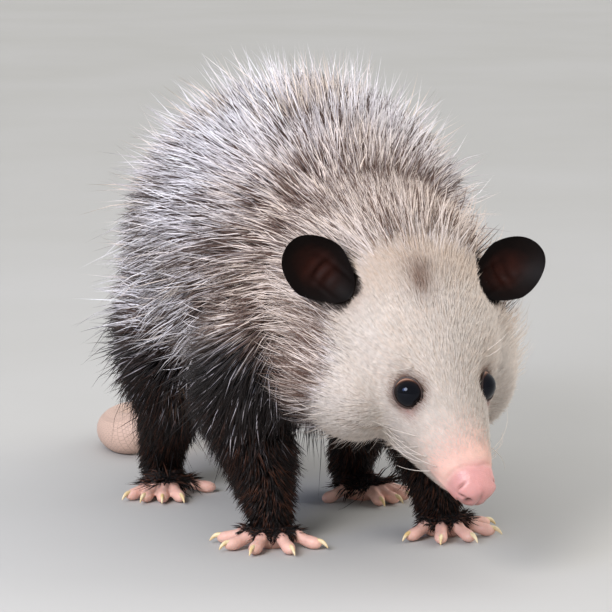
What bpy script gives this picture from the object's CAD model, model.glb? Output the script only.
# A life-size opossum standing with its head lowered: skin, coat, eyes, ears, claws and whiskers.
# Sizes are in millimetres on the animal's own axes: X ahead, Y to its left, z = 0 at the floor.
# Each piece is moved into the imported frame, in metres, when it is finished.

import bmesh
import bpy
import math
import numpy as np
from mathutils import Matrix, Vector, noise
from mathutils.kdtree import KDTree


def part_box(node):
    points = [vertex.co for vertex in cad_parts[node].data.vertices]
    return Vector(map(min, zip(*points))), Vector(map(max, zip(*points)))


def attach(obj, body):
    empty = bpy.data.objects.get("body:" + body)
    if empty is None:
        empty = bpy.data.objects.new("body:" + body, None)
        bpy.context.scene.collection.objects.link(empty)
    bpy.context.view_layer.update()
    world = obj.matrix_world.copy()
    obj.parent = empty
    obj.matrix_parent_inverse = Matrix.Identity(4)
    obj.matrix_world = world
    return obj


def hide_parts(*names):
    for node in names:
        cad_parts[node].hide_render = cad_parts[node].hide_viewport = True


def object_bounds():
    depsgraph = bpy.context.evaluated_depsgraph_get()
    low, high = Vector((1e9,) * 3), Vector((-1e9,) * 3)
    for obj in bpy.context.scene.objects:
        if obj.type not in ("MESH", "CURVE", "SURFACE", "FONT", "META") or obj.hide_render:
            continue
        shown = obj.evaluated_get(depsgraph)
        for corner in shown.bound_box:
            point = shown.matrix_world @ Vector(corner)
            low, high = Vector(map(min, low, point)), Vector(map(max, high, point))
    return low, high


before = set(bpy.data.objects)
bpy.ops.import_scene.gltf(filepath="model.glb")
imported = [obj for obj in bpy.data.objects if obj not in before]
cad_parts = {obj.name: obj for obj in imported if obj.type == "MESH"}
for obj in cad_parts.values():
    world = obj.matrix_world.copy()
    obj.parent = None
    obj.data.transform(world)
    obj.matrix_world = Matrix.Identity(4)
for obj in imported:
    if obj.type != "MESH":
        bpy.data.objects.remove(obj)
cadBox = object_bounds()
mm = 0.001
leftward = Vector((0, 1, 0))

# Stations of the bare body: x, y, z, half width, half depth, coat depth
body = {
    "trunk": [
        (-214, 11, 112, 6, 10, 8), (-206, 11, 110, 30, 33, 20), (-182, 11, 116, 50, 50, 26),
        (-145, 11, 126, 62, 62, 28), (-100, 10, 136, 67, 70, 29), (-55, 7, 137, 66, 69, 28),
        (-15, 5, 134, 59, 63, 24), (20, 5, 130, 49, 53, 18), (45, 6, 127, 36, 42, 12),
        (56, 7, 126, 16, 22, 8),
    ],
    "nape": [
        (10, 4, 133, 42, 47, 14), (40, 9, 130, 44, 46, 13), (65, 12.5, 124, 44.5, 43, 11),
        (84, 14, 115, 37, 38, 8),
    ],
    "tail": [
        (-184, 10, 112, 20, 20, 8), (-204, 8, 98, 17, 18, 10), (-216, -6, 72, 15, 16, 6),
        (-216, -26, 42, 13.5, 14, 2), (-214, -43, 19, 12.5, 12.5, 0), (-222, -54, 12, 12, 12, 0),
        (-244, -55, 11.5, 11.5, 11.5, 0), (-274, -38, 10.5, 10.5, 10.5, 0),
        (-294, -4, 9.5, 9.5, 9.5, 0), (-300, 34, 8.5, 8.5, 8.5, 0), (-288, 70, 7.5, 7.5, 7.5, 0),
        (-262, 98, 6, 6, 6, 0), (-230, 112, 4.5, 4.5, 4.5, 0), (-204, 114, 3, 3, 3, 0),
    ],
}
limbForms = {      # the same stations on both sides, z and on
    "shoulder": ((140, 20, 26, 10), (118, 26, 32, 14), (92, 23, 28, 16), (74, 15, 19, 12)),
    "thigh": ((130, 26, 34, 12), (108, 31, 42, 15), (84, 24, 33, 15), (66, 15, 20, 12)),
    "fore": ((104, 20, 24, 12), (80, 20, 22, 15), (64, 18, 19, 15), (44, 14, 15, 14), (25, 10.5, 11, 9),
             (15, 9.5, 9, 3), (9, 9, 8, 0)),
    "hind": ((96, 22, 30, 12), (70, 19, 24, 13), (54, 15, 18, 10), (36, 11, 14, 7), (20, 9.5, 11, 3),
             (13, 9, 10, 1), (9, 8.5, 8, 0)),
}
limbPaths = {      # and their x and y
    "shoulderRight": ((12, -18), (8, -28), (-2, -38), (-8, -43)),
    "shoulderLeft": ((12, 26), (8, 39), (-2, 47), (-6, 50)),
    "thighRight": ((-158, -12), (-146, -30), (-128, -48), (-118, -55)),
    "thighLeft": ((-158, 34), (-136, 46), (-102, 50), (-86, 48)),
    "foreRight": ((0, -34), (-6, -41), (-10, -43), (0, -41), (12, -40), (17, -40), (19, -40)),
    "foreLeft": ((0, 42), (-4, 49), (-6, 51), (4, 51), (15, 51), (20, 51), (22, 51)),
    "hindRight": ((-134, -42), (-118, -53), (-112, -56), (-118, -58), (-124, -59), (-122, -59), (-117, -60)),
    "hindLeft": ((-112, 50), (-88, 50), (-76, 46), (-78, 41), (-82, 38), (-80, 38), (-75, 38)),
}
for part, places in limbPaths.items():
    form = limbForms[part.replace("Right", "").replace("Left", "")]
    body[part] = [place + rest for place, rest in zip(places, form)]

# The head has its own axes: f ahead of the nose tip, s to its left, u up
head = {
    "noseTip": (142, 24.5, 50.5), "pitch": 38, "yaw": 8, "coatShare": 0.8, "cheekShare": 0.5,
    "skull": [
        (-133, 4, 16, 16, 8), (-126, 4, 30, 29, 10), (-110, 5, 39, 36, 11), (-92, 5, 40, 36, 10),
        (-76, 5, 35, 32, 8), (-60, 4, 27, 26, 6), (-44, 2.5, 20, 20, 4), (-28, 1, 15.5, 15.5, 3),
        (-14, 0, 12.2, 12.2, 2), (-4, -1, 10.6, 10.6, 1), (2, -1.8, 9.4, 9.4, 0), (6, -2.2, 6, 6.5, 0),
    ],
    "jaw": [
        (-96, -22, 24, 12, 5), (-72, -20, 21, 11, 4), (-48, -17, 15, 9, 3), (-28, -14, 10, 7, 2),
        (-14, -12, 7, 5.5, 1), (-8, -11.5, 4, 3.5, 0),
    ],
    "cheekAt": (-84, 30, -8), "cheekSize": (28, 20.5, 24), "cheekCoat": 9,
    "browAt": (-62, 17, 18), "browSize": (17, 10, 9),
    "mouthBack": -60, "mouthLine": -8.5,
}
eye = {
    "at": (-52, 19.4, 14.5), "facing": (0.52, 0.6, 0.6), "radius": 8.0,
    "opening": 59, "corner": 10, "lidRise": 0.8, "bulge": 0.035, "ringAngle": 62,
    "lidProfile": ((14, -1.4), (10, 0.1), (6.5, 0.65), (3.4, 0.8), (1, 0.6), (-0.4, 0.2), (0, -0.5),
                   (8, -1.6)),
}
ear = {
    "at": (-103, 36, 30.5), "halfHeight": 21.4, "halfWide": 15.4, "narrow": 0.3, "cup": 9,
    "thick": 0.8, "lip": 0.7,
    "up": {1: (-0.20, 0.88, 0.38), -1: (-0.45, -0.75, 0.45)},
    "face": {1: (0.63, -0.03, 0.75), -1: (0.63, -0.48, 0.62)},
    "rise": {1: 17, -1: 21},
}
foot = {
    "palm": (13, 11, 7.5), "toeReach": 25, "toeRadius": 3.3, "clawLength": 5.5,
    "foreToes": (-82, -44, -8, 34, 76), "hindToes": (-34, -12, 10, 32), "thumb": 105,
    "places": {
        "foreRight": (20, -40, -30, 0), "foreLeft": (24, 52, 22, 0),
        "hindRight": (-112, -61, -28, 1), "hindLeft": (-70, 40, 38, -1),
    },
}
limbs = ("foreRight", "foreLeft", "hindRight", "hindLeft")
limbRoots = ("shoulderRight", "shoulderLeft", "thighRight", "thighLeft")      # under the trunk's coat


def hexColour(code):
    channels = [int(code[i:i + 2], 16) / 255 for i in (1, 3, 5)]
    return tuple(c / 12.92 if c <= 0.04045 else ((c + 0.055) / 1.055) ** 2.4 for c in channels)


def headAxes():
    yaw = Matrix.Rotation(math.radians(head["yaw"]), 4, "Z")
    pitch = Matrix.Rotation(math.radians(head["pitch"]), 4, "Y")
    return Matrix.Translation(head["noseTip"]) @ yaw @ pitch


def onSide(point, sign):
    return Vector((point[0], sign * point[1], point[2]))


headFrame = headAxes()
lowCorner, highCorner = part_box("eye_right")
shift = (lowCorner + highCorner) / 2 - headFrame @ onSide(eye["at"], -1) * mm
toFrame = Matrix.Translation(shift) @ Matrix.Scale(mm, 4)


# Shapes

def curveRows(stations, steps):
    rows = []
    last = len(stations) - 1
    for i in range(last):
        a, b, c, d = (stations[k] for k in (max(i - 1, 0), i, i + 1, min(i + 2, last)))
        for k in range(steps):
            t = k / steps
            rows.append([(2 * q + (r - p) * t + (2 * p - 5 * q + 4 * r - s) * t * t
                          + (3 * q - p - 3 * r + s) * t ** 3) / 2 for p, q, r, s in zip(a, b, c, d)])
    rows.append(list(stations[last]))
    return rows


def ringFrames(rows, side):
    frames = []
    for i, row in enumerate(rows):
        ahead = Vector(rows[min(i + 1, len(rows) - 1)][:3])
        behind = Vector(rows[max(i - 1, 0)][:3])
        along = (ahead - behind).normalized()
        side = (side - along * side.dot(along)).normalized()
        frames.append((Vector(row[:3]), along, side, along.cross(side)))
    return frames


def loft(bm, rows, side=leftward, segments=24, place=None, share=0.0):
    loops = []
    for row, (centre, along, across, lift) in zip(rows, ringFrames(rows, side)):
        turn = Matrix((across, lift, along)).transposed().to_4x4()
        size = Matrix.Diagonal((row[3] + row[5] * share, row[4] + row[5] * share, 1, 1))
        matrix = Matrix.Translation(centre) @ turn @ size
        if place is not None:
            matrix = place @ matrix
        ring = bmesh.ops.create_circle(bm, segments=segments, radius=1, matrix=matrix)
        loops.append(list({edge for vert in ring["verts"] for edge in vert.link_edges}))
    for one, two in zip(loops, loops[1:]):
        bmesh.ops.bridge_loops(bm, edges=one + two)
    bmesh.ops.holes_fill(bm, edges=loops[0] + loops[-1], sides=0)


def ball(bm, centre, size, place=None, segments=24):
    matrix = Matrix.Translation(centre) @ Matrix.Diagonal((*size, 1))
    if place is not None:
        matrix = place @ matrix
    bmesh.ops.create_uvsphere(bm, u_segments=segments, v_segments=segments // 2, radius=1, matrix=matrix)


def meshObject(name, bm):
    bmesh.ops.recalc_face_normals(bm, faces=bm.faces)
    mesh = bpy.data.meshes.new(name)
    bm.to_mesh(mesh)
    bm.free()
    obj = bpy.data.objects.new(name, mesh)
    bpy.context.scene.collection.objects.link(obj)
    return obj


def applied(obj):
    graph = bpy.context.evaluated_depsgraph_get()
    mesh = bpy.data.meshes.new_from_object(obj.evaluated_get(graph))
    obj.modifiers.clear()
    obj.data = mesh
    return obj


def blended(name, bm, voxel, passes):
    obj = meshObject(name, bm)
    remesh = obj.modifiers.new("oneSkin", "REMESH")
    remesh.mode = "VOXEL"
    remesh.voxel_size = voxel
    applied(obj)
    if passes:
        soften = obj.modifiers.new("soften", "SMOOTH")
        soften.factor = 0.5
        soften.iterations = passes
        applied(obj)
    return obj


def united(obj, others):
    group = bpy.data.collections.new("joined")
    bpy.context.scene.collection.children.link(group)
    for other in others:
        group.objects.link(other)
    union = obj.modifiers.new("union", "BOOLEAN")
    union.operation = "UNION"
    union.operand_type = "COLLECTION"
    union.collection = group
    union.solver = "EXACT"
    applied(obj)
    for other in others:
        bpy.data.objects.remove(other)
    bpy.data.collections.remove(group)
    return obj


def arrays(mesh):
    count = len(mesh.vertices)
    co = np.empty(count * 3)
    mesh.vertices.foreach_get("co", co)
    normals = np.empty(count * 3)
    mesh.vertices.foreach_get("normal", normals)
    edges = np.empty(len(mesh.edges) * 2, np.int32)
    mesh.edges.foreach_get("vertices", edges)
    return co.reshape(-1, 3), normals.reshape(-1, 3), edges.reshape(-1, 2)


def setPlaces(mesh, co):
    mesh.vertices.foreach_set("co", co.ravel())
    mesh.update()


def spread(values, edges, passes, share=0.5):
    # evens a value out over neighbouring points
    a, b = edges[:, 0], edges[:, 1]
    n = len(values)
    count = np.maximum(np.bincount(a, minlength=n) + np.bincount(b, minlength=n), 1)[:, None]
    for _ in range(passes):
        mean = np.stack([np.bincount(a, values[b, k], n) + np.bincount(b, values[a, k], n)
                         for k in range(values.shape[1])], 1) / count
        values = values + (mean - values) * (share if np.isscalar(share) else share[:, None])
    return values


def ease(low, high, x):
    t = np.clip((x - low) / (high - low), 0, 1)
    return t * t * (3 - 2 * t)


def unit(v):
    return v / np.maximum(np.linalg.norm(v, axis=-1, keepdims=True), 1e-9)


headTurn = np.array(headFrame.to_3x3())
noseTip = np.array(head["noseTip"], float)


def toHead(co):
    return (co - noseTip) @ headTurn


def fromHead(local):
    return local @ headTurn.T + noseTip


def eyeAxes(sign):
    centre = np.array(onSide(eye["at"], sign))
    facing = np.array(onSide(eye["facing"], sign).normalized())
    return centre, facing


def earFrame(sign):
    up = Vector(ear["up"][sign]).normalized()
    face = Vector(ear["face"][sign])
    face = (face - up * face.dot(up)).normalized()
    return onSide(ear["at"], sign) + up * ear["rise"][sign], up, face, up.cross(face)


def earReach(local, sign):
    # how far points lie from the ear's middle, 1 at its rim, and how far in front of its face
    middle, up, front, wide = (np.array(item) for item in earFrame(sign))
    away = local - middle
    reach = (away @ wide / ear["halfWide"]) ** 2 + (away @ up / ear["halfHeight"]) ** 2
    return reach, away @ front


# Skin

skinSettings = {
    "voxel": 2.4, "smoothing": 9, "limbSmoothing": 2,
    "headFrom": -112,          # f behind which the skin stays coarse
    "footVoxel": 1.0, "tailSteps": 8, "tailSegments": 24,
}


def headRows(stations):
    return curveRows([(f, 0, u, w, h, c) for f, u, w, h, c in stations], 4)


def bodyForm():
    bm = bmesh.new()
    for part in ("trunk", "nape") + limbRoots:
        loft(bm, curveRows(body[part], 4))
    share = head["coatShare"]
    for part in ("skull", "jaw"):
        loft(bm, headRows(head[part]), place=headFrame, share=share)
    for sign in (-1, 1):
        size = Vector(head["cheekSize"]) + Vector((1, 1, 1)) * head["cheekCoat"] * head["cheekShare"]
        ball(bm, onSide(head["cheekAt"], sign), size, headFrame)
        ball(bm, onSide(head["browAt"], sign), head["browSize"], headFrame)
    form = blended("bodyForm", bm, skinSettings["voxel"], skinSettings["smoothing"])
    bm = bmesh.new()
    bm.from_mesh(form.data)
    bpy.data.objects.remove(form)
    for part in limbs:
        loft(bm, curveRows(body[part], 4), segments=20)
    return blended("opossumSkin", bm, skinSettings["voxel"], skinSettings["limbSmoothing"])


def refined(obj, inside):
    # halves the faces where inside() holds and evens the new points out
    bm = bmesh.new()
    bm.from_mesh(obj.data)
    bm.verts.ensure_lookup_table()
    co = np.array([vert.co[:] for vert in bm.verts])
    chosen = inside(toHead(co))
    edges = [edge for edge in bm.edges if chosen[edge.verts[0].index] and chosen[edge.verts[1].index]]
    bmesh.ops.subdivide_edges(bm, edges=edges, cuts=1, use_grid_fill=True)
    bm.to_mesh(obj.data)
    bm.free()
    co, _, links = arrays(obj.data)
    chosen = inside(toHead(co)).astype(float)
    setPlaces(obj.data, spread(co, links, 3, chosen * 0.5))


def nearEyesOrNose(local):
    near = local[:, 0] > -14
    for sign in (-1, 1):
        centre, _ = eyeAxes(sign)
        near |= np.linalg.norm(local - centre, axis=1) < 16
    return near


sculpting = (        # centre as f, s, u on the left side, size of the spot, and how far it stands out
    ((-20, 12, -3), (9, 6, 6), 1.6),             # whisker pads
    ((0.5, 8.2, 1.0), (4.2, 3, 4), 1.3),         # wings of the nose
    ((5, 3.2, 2.0), (5, 4, 4), 0.8),
    ((4.0, 5.2, -2.2), (2.2, 1.6, 1.9), -3.6),   # nostrils
    ((1.2, 8.0, -0.6), (2.6, 1.6, 1.0), -2.8),
    ((-0.4, 8.6, 2.6), (0.7, 2.6, 2.6), -1.7),   # slit behind each wing
    ((-70, 24, 28), (16, 9, 9), 1.5),            # brow
    ((-67, 38, 2), (13, 9, 13), 2.6),            # cheekbone
    ((-99, 38, 30), (9, 8, 9), -7.0),            # hollow in front of the ear
    ((-40, 17, 7), (6, 5, 4), -1.2),             # hollow before the eye
)


def press(local, outward, centre, radius, amount):
    # pushes points near a centre in or out along the skin's own direction
    off = np.linalg.norm((local - np.array(centre)) / np.array(radius), axis=1)
    local += outward * (amount * np.exp(-off ** 2))[:, None]


def sculptEyes(local):
    radius = eye["radius"]
    for sign in (-1, 1):
        centre, facing = eyeAxes(sign)
        away = local - centre
        reach = np.linalg.norm(away, axis=1)
        turn = np.degrees(np.arccos(np.clip((away @ facing) / np.maximum(reach, 1e-6), -1, 1)))
        rim = eye["opening"] + 3
        sunk = radius - 2.2
        lid = radius + eye["lidRise"]
        wanted = sunk + (lid - sunk) * ease(rim, rim + 10, turn)
        low = np.maximum(reach, lid - np.maximum(turn - rim - 10, 0) * 0.06)
        target = np.where(turn < rim + 10, wanted, low)
        share = 1 - ease(radius + 4.5, radius + 8, reach)
        local += (away / np.maximum(reach, 1e-6)[:, None]) * ((target - reach) * share)[:, None]


def mouthHeight(f):
    return head["mouthLine"] + 0.00045 * (f + 34) ** 2 - 0.3


def sculptHead(obj):
    co, normals, _ = arrays(obj.data)
    local = toHead(co)
    outward = normals @ headTurn
    sculptEyes(local)
    f, s, u = local.T
    along = ease(head["mouthBack"] - 2, head["mouthBack"] + 10, f) * (f < 0)
    gap = u - mouthHeight(f)
    local += outward * ((-2.4 * np.exp(-(gap / 0.95) ** 2) + 0.8 * np.exp(-((gap - 2.6) / 1.7) ** 2))
                        * along)[:, None]
    for sign in (-1, 1):
        for centre, size, amount in sculpting:
            press(local, outward, onSide(centre, sign), size, amount)
    f, s, u = local.T
    groove = np.exp(-(s / 0.8) ** 2) * ease(0, 4, f) * ease(5, 1, u)
    fold = np.exp(-((f + 5.5 + 0.25 * np.abs(s)) / 1.1) ** 2) * ease(-9, 2, u)      # behind the pad
    local += outward * (-0.9 * groove - 0.55 * fold)[:, None]
    setPlaces(obj.data, fromHead(local))


def toeRows():
    reach, r = foot["toeReach"], foot["toeRadius"]
    return [
        (3, 0, 5.6, r + 0.7, r + 0.6, 0), (reach * 0.34, 0, 6.6, r + 0.1, r + 0.2, 0),
        (reach * 0.52, 0, 6.6, r + 0.35, r + 0.3, 0), (reach * 0.72, 0, 4.7, r - 0.25, r - 0.2, 0),
        (reach * 0.9, 0, 3.6, r + 0.2, r + 0.1, 0), (reach, 0, 3.3, r, r - 0.1, 0),
        (reach + 2.6, 0, 3.0, 2.0, 2.0, 0), (reach + 3.4, 0, 2.9, 0.9, 0.9, 0),
    ]


def footSpins(word):
    x, y, heading, thumbSide = foot["places"][word]
    place = Matrix.Translation((x, y, 0)) @ Matrix.Rotation(math.radians(heading), 4, "Z")
    toes = foot["foreToes"] if word.startswith("fore") else foot["hindToes"]
    clawed = [place @ Matrix.Rotation(math.radians(turn), 4, "Z") for turn in toes]
    thumb = []
    if thumbSide:
        thumb = [place @ Matrix.Rotation(math.radians(thumbSide * foot["thumb"]), 4, "Z")]
    return place, clawed, thumb


def footForm(word):
    place, clawed, thumb = footSpins(word)
    bm = bmesh.new()
    ball(bm, (0, 0, 5), foot["palm"], place)
    for spin in clawed + thumb:
        loft(bm, curveRows(toeRows(), 3), segments=16, place=spin)
        ball(bm, (foot["toeReach"] * 0.3, 0, 3.2), (5.5, 3.6, 3.2), spin)      # pad under each toe's root
    obj = blended(word + "Foot", bm, skinSettings["footVoxel"], 2)
    return flattened(obj)


def flattened(obj):
    bm = bmesh.new()
    bm.from_mesh(obj.data)
    result = bmesh.ops.bisect_plane(bm, geom=bm.verts[:] + bm.edges[:] + bm.faces[:], dist=1e-4,
                                    plane_co=(0, 0, 0), plane_no=(0, 0, -1), clear_outer=True)
    rim = [item for item in result["geom_cut"] if isinstance(item, bmesh.types.BMEdge)]
    bmesh.ops.holes_fill(bm, edges=rim, sides=0)
    bmesh.ops.triangulate(bm, faces=[face for face in bm.faces if len(face.verts) > 4])
    bm.to_mesh(obj.data)
    bm.free()
    return obj


def tailForm():
    bm = bmesh.new()
    loft(bm, curveRows(body["tail"], skinSettings["tailSteps"]), segments=skinSettings["tailSegments"])
    return flattened(meshObject("tailForm", bm))


def makeSkin():
    skin = bodyForm()
    refined(skin, lambda local: local[:, 0] > skinSettings["headFrom"])
    refined(skin, nearEyesOrNose)
    sculptHead(skin)
    print("head shaped:", len(skin.data.polygons), "faces")
    united(skin, [footForm(word) for word in limbs] + [tailForm()])
    print("skin joined:", len(skin.data.polygons), "faces")
    return skin


# Where the coat grows and how it lies, for every point of the skin

guideRows = {part: curveRows(body[part], 6) for part in ("trunk", "nape", "tail") + limbs}
for part in limbRoots:
    guideRows[part] = curveRows(body[part], 4)
for part in ("skull", "jaw"):
    guideRows[part] = [list(headFrame @ Vector(row[:3])) + row[3:] for row in headRows(head[part])]
guideNames = list(guideRows)
coatLengths = {      # places and the longest hairs there, in mm: by f, x, z and z; the width's share by f
    "head": ((-130, -112, -96, -80, -64, -48, -32, -18, -6), (24, 16, 11, 8.5, 7, 5.5, 4.2, 3, 1.3)),
    "trunk": ((-200, 20, 60, 90), (34, 30, 25, 22)),
    "legs": ((6, 14, 30, 50, 70, 96), (6, 9, 13, 18, 24, 28)),
    "tail": ((48, 60, 80, 100), (3, 8, 18, 24)),
    "width": ((-120, -100, -75, -50, -25, -8), (0.95, 0.75, 0.6, 0.5, 0.4, 0.32)),
}


def nearestRow(part, points):
    rows = np.array(guideRows[part])
    size = (rows[:, 3] + rows[:, 4]) / 2 + 1
    best = np.full(len(points), 1e9)
    index = np.zeros(len(points), int)
    for i, row in enumerate(rows):
        off = np.linalg.norm(points - row[:3], axis=1) / size[i]
        closer = off < best
        best[closer] = off[closer]
        index[closer] = i
    return best, index, rows[index]


def rolledOut(part, points):
    # turn round a part, distance along its middle line, and the line's whole length
    frames = ringFrames(guideRows[part], leftward)
    centre, _, across, lift = (np.array([item[k] for item in frames]) for k in range(4))
    steps = np.linalg.norm(np.diff(centre, axis=0), axis=1)
    arc = np.concatenate([[0], np.cumsum(steps)])
    _, index, _ = nearestRow(part, points)
    found = None
    for back in (1, 0):
        j = np.clip(index - back, 0, len(centre) - 2)
        line = centre[j + 1] - centre[j]
        t = np.clip(((points - centre[j]) * line).sum(1) / (line * line).sum(1), 0, 1)
        away = points - centre[j] - line * t[:, None]
        reach = np.linalg.norm(away, axis=1)
        sideways = across[j] + (across[j + 1] - across[j]) * t[:, None]
        rise = lift[j] + (lift[j + 1] - lift[j]) * t[:, None]
        turn = np.arctan2((away * rise).sum(1), (away * sideways).sum(1))
        here = np.stack([reach, turn, arc[j] + steps[j] * t], 1)
        found = here if found is None else np.where((here[:, 0] < found[:, 0])[:, None], here, found)
    return found[:, 1], found[:, 2], arc[-1]


def unwrapOn(part, points):
    # u round the part, v along it: the skin's own shape rolled flat
    turn, along, whole = rolledOut(part, points)
    return np.clip(turn / (2 * math.pi) + 0.5, 0.003, 0.997), np.clip(along / whole, 0.003, 0.997)


def waves(points, scale, seed):
    # slow random swell, about -1 to 1, over a size in millimetres
    offset = Vector((seed * 13.7, seed * 5.1, seed * 9.3))
    return np.array([noise.noise(Vector(p) / scale + offset) for p in points]) * 1.6


lies = {      # which way the coat lies where it hangs, on the animal's axes
    "low": (-0.45, 0, -1), "rear": (-0.25, 0, -1), "chest": (-0.2, 0, -1), "legs": (-0.32, 0, -1),
    "tail": (-0.3, -0.3, -1),
}


def coatLie(fields, normals, ruff, palm, outwards):
    # back and a little down over the body, down the limbs and the chest, back over the face
    f, s, u = fields["local"].T
    z = fields["co"][:, 2]
    named, legs, onTail = fields["named"], fields["legs"], fields["tail"]
    back = -np.ones(len(z))
    lie = np.stack([back, 0.1 * normals[:, 1], -0.45 * np.abs(normals[:, 1])], 1)
    low = ease(95, 60, z)[:, None] * (1 - named["nape"])[:, None]
    lie = lie * (1 - low) + np.array(lies["low"]) * low
    rear = ease(0.25, 0.7, -normals[:, 0])[:, None]
    lie = lie * (1 - rear) + np.array(lies["rear"]) * rear
    chest = (ease(0.3, 0.7, normals[:, 0]) * ease(0.3, -0.1, normals[:, 2]))[:, None]
    lie = lie * (1 - chest) + np.array(lies["chest"]) * chest
    flow = np.stack([back, np.sign(s) * (0.3 * ease(0, 14, np.abs(s)) + 0.5 * ruff),
                     -0.5 * ease(14, -16, u) * ease(-30, -60, f)], 1)
    ahead = (fields["head"] * ease(-124, -92, f))[:, None]
    lie = lie * (1 - ahead) + (flow @ headTurn.T) * ahead
    lie[legs] = lies["legs"]
    lie[legs, 1] = normals[legs, 1] * 0.15
    lie[onTail] = lies["tail"]
    lie[palm] = unit(outwards[palm]) + (0, 0, -0.3)
    return unit(lie - normals * (lie * normals).sum(1)[:, None])


def skinFields(skin):
    co, normals, links = arrays(skin.data)
    best = np.full(len(co), 1e9)
    region = np.zeros(len(co), int)
    coat = np.zeros(len(co))
    for k, part in enumerate(guideNames):
        off, _, rows = nearestRow(part, co)
        if part in ("skull", "jaw"):
            off = off * 0.9
        closer = off < best
        best[closer] = off[closer]
        region[closer] = k
        coat[closer] = rows[closer, 5] * (head["coatShare"] if part in ("skull", "jaw") else 1)
    local = toHead(co)
    f, s, u = local.T
    x, y, z = co.T
    named = {part: region == k for k, part in enumerate(guideNames)}
    legs = np.zeros(len(co), bool)
    for part in limbs:
        legs |= named[part]
    onTail = named["tail"] & (z < 97)
    onHead = (named["skull"] | named["jaw"] | named["nape"]) & (f > -122) & (u > -44)
    inFoot = np.zeros(len(co), bool)
    palm = np.zeros(len(co), bool)
    outwards = np.zeros((len(co), 3))
    for word in limbs:
        cx, cy = foot["places"][word][:2]
        off = np.hypot(x - cx, y - cy)
        inFoot |= (z < 12.5) & (off < 46)
        top = (off < 15) & (z > 6.5) & (z < 17)
        palm |= top
        outwards[top] = np.stack([x - cx + 3, y - cy, np.zeros(len(co))], 1)[top]
    inFoot &= ~palm
    ruff = ease(30, 44, np.abs(s)) * ease(-62, -80, f)
    onFace = np.interp(f, *coatLengths["head"]) + 5 * ruff
    long = np.where(onHead, onFace, np.interp(x, *coatLengths["trunk"]))
    long = np.where(legs, np.interp(z, *coatLengths["legs"]), long)
    long = np.where(named["tail"], np.interp(z, *coatLengths["tail"]), long)
    wide = np.where(onHead, np.interp(f, *coatLengths["width"]), 1.0)
    long, wide = spread(np.stack([long, wide], 1), links, 24).T
    fields = {
        "co": co, "normal": unit(spread(normals, links, 6)), "depth": spread(coat[:, None], links, 24)[:, 0],
        "local": local, "legs": legs, "tail": onTail, "head": onHead, "feet": inFoot, "named": named,
        "long": long, "wide": wide, "ruff": np.maximum(ruff, ease(-102, -120, f)) * onHead,
    }
    lie = coatLie(fields, normals, ruff, palm, outwards)
    fields["lie"] = unit(spread(lie, links, 40))
    fields["marks"] = markings(co, local, legs)
    return fields


# Markings, shared by the skin and the coat

palette = {
    "faceTip": "#D5CAC0", "faceRoot": "#C4B4A7", "faceTan": "#CFB39C", "smudge": "#674634",
    "buffTip": "#E2CFC1", "buffRoot": "#5B4136", "silverTip": "#F6F1F4", "creamTip": "#E6D5C7",
    "greyTip": "#C6BEC3", "silverRoot": "#2A1A16", "darkTip": "#150C0A", "darkRoot": "#080504",
    "legTip": "#54301F", "tanTip": "#B8926F", "eyeShade": "#583828", "eyeCorner": "#A9756E",
    "duskTip": "#48352E", "underTip": "#4E3A32", "underRoot": "#221714", "earBase": "#150C0A",
    "nosePink": "#C68E89", "noseUnder": "#8A4C3F", "lip": "#5A342B", "toePink": "#DDAF9F",
    "toeDusky": "#A0776F", "tailBase": "#3A2A24", "tailPale": "#CDAE9D", "underSkin": "#3A2A25",
    "pinkSkin": "#D2A698",
}
colours = {name: np.array(hexColour(code)) for name, code in palette.items()}
zones = {
    "ragged": 4, "faceEdge": -101, "faceTilt": 0.12,      # the pale face's rear edge, in f
    "darkAlong": (-220, -150, -100, -60, -20, 20, 60),    # the coat is dark under these heights
    "darkUnder": (98, 94, 88, 80, 100, 109, 84),
    "smudge": ((-93, -8), (10, 6.5)),
    "eyeAhead": 5, "eyeRing": (7.4, 3.4), "eyeCorner": ((7.5, 1.5, -6.5), 4.6),
    "earSeats": (((-106, 39.5, 20), 8), ((-101, 41.5, 16.5), 5)),      # round the ear's stalk, and below it
}
overlays = (      # mark, colour, and its share in the fur and on the skin
    ("smudge", "smudge", 0.95, 0.7), ("shade", "eyeShade", 0.85, 0.95),
    ("corner", "eyeCorner", 0.7, 0.9), ("earBase", "earBase", 0.97, 0.97),
)
nostrilTones = (((3.6, 5.0, -2.2), (2.4, 1.7, 2.0)), ((1.2, 8.0, -0.6), (2.6, 1.8, 0.9)),
                ((-0.4, 8.6, 2.6), (0.6, 2.4, 2.2)))


def mixed(one, two, share):
    return one + (two - one) * share[:, None]


def plain(name, count):
    return np.tile(colours[name], (count, 1))


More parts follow.
